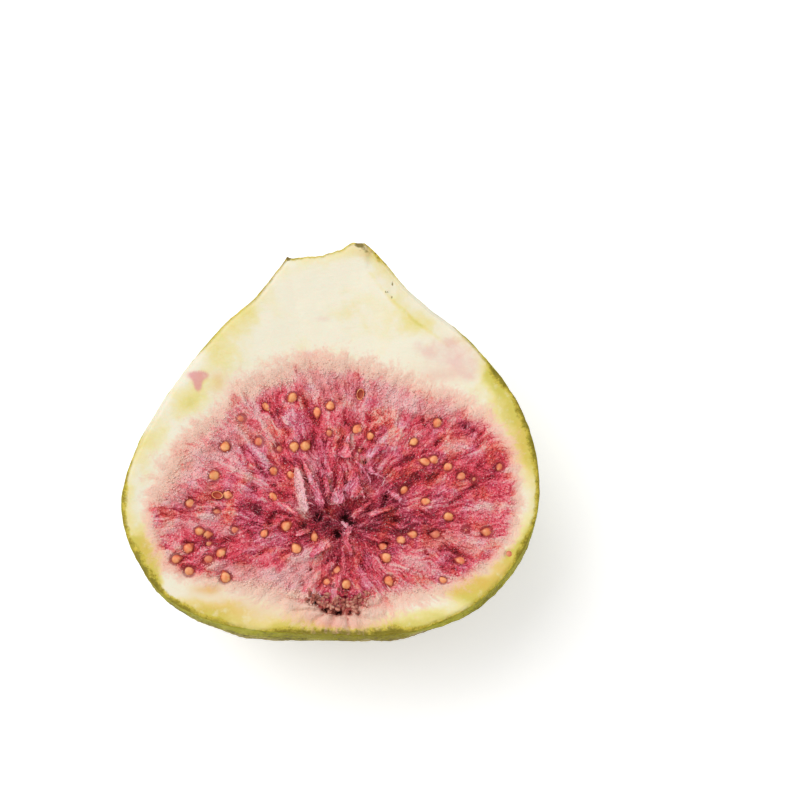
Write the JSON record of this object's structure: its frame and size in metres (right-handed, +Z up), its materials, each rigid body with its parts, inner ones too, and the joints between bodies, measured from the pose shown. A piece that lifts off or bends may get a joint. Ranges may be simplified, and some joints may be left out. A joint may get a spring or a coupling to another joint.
{
  "type": "freeze-dried fig half",
  "caption": "Half of a freeze-dried green fig, cut lengthways, lying on its rounded skin with the seeded pink pulp facing up.",
  "frame": {"origin": "on the ground, under the middle of the half's box", "axes": "+Z up, out of the cut face; +Y towards the cut stem; -Y towards the eye of the fruit; +X across"},
  "size_m": [0.0474, 0.0454, 0.0214],
  "materials": {
    "skin_and_flesh": "matte",
    "pulp": "matte",
    "seed": "satin"
  },
  "bodies": {
    "root": {"fig_half": "skin_and_flesh"}
  },
  "joints": []
}
